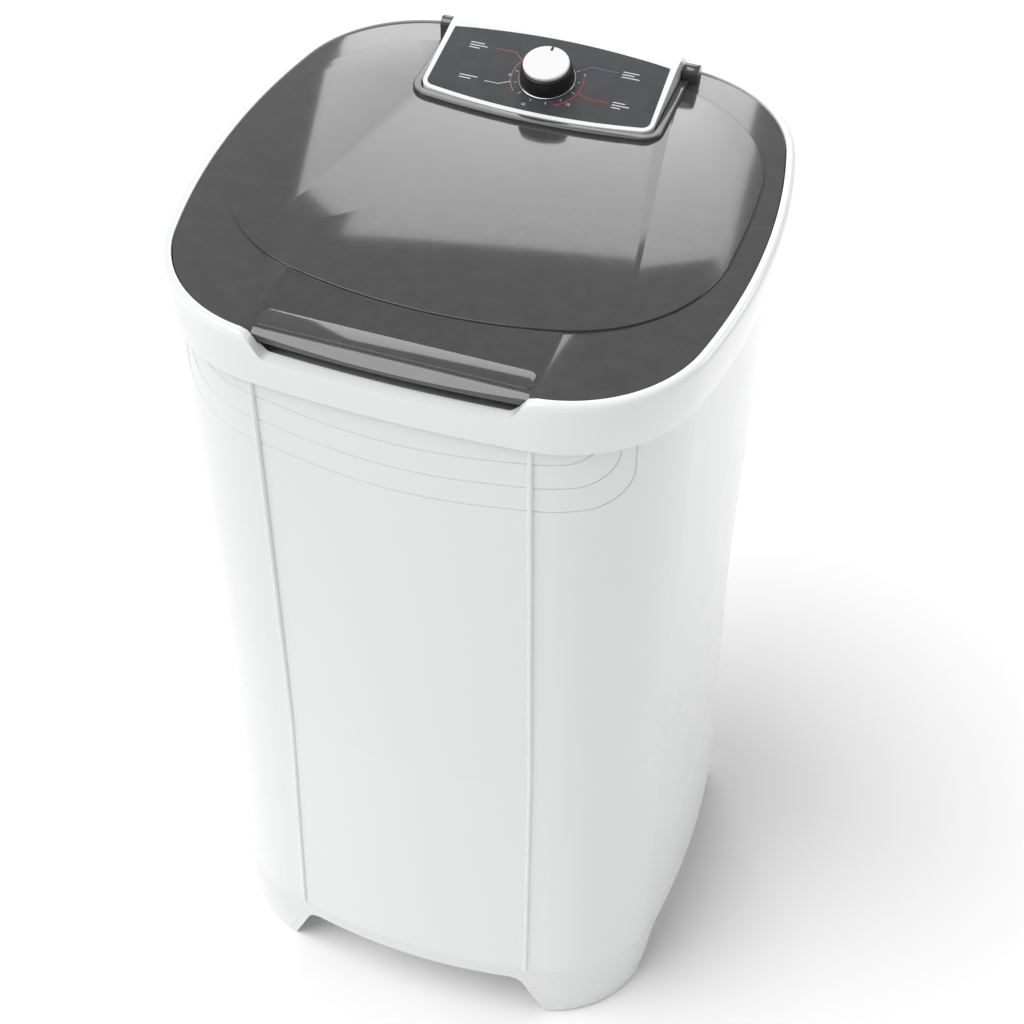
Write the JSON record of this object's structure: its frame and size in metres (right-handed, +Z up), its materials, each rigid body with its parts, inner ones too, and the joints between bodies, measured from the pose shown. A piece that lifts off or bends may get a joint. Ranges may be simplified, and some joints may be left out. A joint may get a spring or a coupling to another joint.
{
  "type": "top-loading washing machine",
  "caption": "Floor-standing top-loading washer with a hinged see-through lid, a belt-driven agitator in a round tub, a timer knob and arched feet.",
  "frame": {"origin": "on the floor under the middle of the machine", "axes": "+Z up, -Y towards the user at the front, +X to the user's right; the console is at +Y"},
  "size_m": [0.536, 0.5359, 1.0205],
  "materials": {
    "cabinet_white": "glossy moulded",
    "lid_smoked": "glossy, smoked and see-through",
    "fascia_dark": "satin dark",
    "knob_white": "satin",
    "knob_black": "matte",
    "knob_trim": "bright",
    "tub_plastic": "moulded",
    "agitator_plastic": "moulded",
    "rubber_dark": "matte",
    "rubber_grey": "matte",
    "belt_rubber": "matte",
    "plastic_grey": "matte",
    "harness_sleeve": "matte",
    "steel": "zinc plated",
    "bearing_steel": "ground",
    "plate_painted": "painted",
    "cast_alloy": "as cast",
    "laminations": "varnished"
  },
  "bodies": {
    "machine": {"base_frame": "cabinet_white", "bearing_housing": "cast_alloy", "bearing_lower": "bearing_steel", "bearing_upper": "bearing_steel", "cabinet_lower": "cabinet_white", "cabinet_upper": "cabinet_white", "cable_gland": "rubber_dark", "capacitor": "plastic_grey", "capacitor_clip": "steel", "console_housing": "cabinet_white", "control_fascia": "fascia_dark", "drain_grille": "agitator_plastic", "drain_hose": "rubber_grey", "drain_outlet": "plastic_grey", "drive_belt": "belt_rubber", "filter_rail": "tub_plastic", "foot_pad_back_left": "rubber_dark", "foot_pad_back_right": "rubber_dark", "foot_pad_front_left": "rubber_dark", "foot_pad_front_right": "rubber_dark", "harness_clips": "plastic_grey", "hinge_pin_left": "steel", "hinge_pin_right": "steel", "hose_clamp_lower": "steel", "hose_clamp_upper": "steel", "lint_filter": "agitator_plastic", "mechanism_bolts": "steel", "mechanism_plate": "plate_painted", "motor_bolts": "steel", "motor_mounts": "rubber_dark", "motor_shield_bottom": "cast_alloy", "motor_shield_top": "cast_alloy", "motor_stator": "laminations", "shaft_seal": "rubber_dark", "terminal_block": "plastic_grey", "timer_body": "plastic_grey", "top_frame": "cabinet_white", "wash_tub": "tub_plastic", "wire_harness": "harness_sleeve"},
    "agitator_drive": {"agitator": "agitator_plastic", "agitator_cap": "agitator_plastic", "agitator_screw": "steel", "drive_shaft": "steel", "driven_pulley": "cast_alloy", "pulley_nut": "steel"},
    "motor_drive": {"motor_rotor": "laminations", "motor_shaft": "steel", "motor_pulley": "cast_alloy"},
    "lid": {"lid_panel": "lid_smoked", "lid_buffers": "rubber_dark"},
    "knob": {"knob_skirt": "knob_black", "knob_cap": "knob_white", "knob_ring": "knob_trim", "knob_pointer": "knob_black", "timer_shaft": "steel"}
  },
  "joints": [
    {"name": "agitator_spin", "type": "hinge", "parent": "machine", "child": "agitator_drive", "pos_m": [0, 0, 0.4], "axis": [0, 0, 1], "continuous": true},
    {"name": "motor_spin", "type": "hinge", "parent": "machine", "child": "motor_drive", "pos_m": [-0.12, 0.12, 0.345], "axis": [0, 0, 1], "continuous": true},
    {"name": "lid_hinge", "type": "hinge", "parent": "machine", "child": "lid", "pos_m": [0, 0.236, 0.988], "axis": [-1, 0, 0], "range_deg": [0, 100]},
    {"name": "knob_turn", "type": "hinge", "parent": "machine", "child": "knob", "pos_m": [0, 0.166, 0.99453], "axis": [0, 0.2104, -0.9776], "range_deg": [0, 330]}
  ],
  "couplings": [
    {"joint": "motor_spin", "follows": "agitator_spin", "ratio": 5.8087}
  ]
}
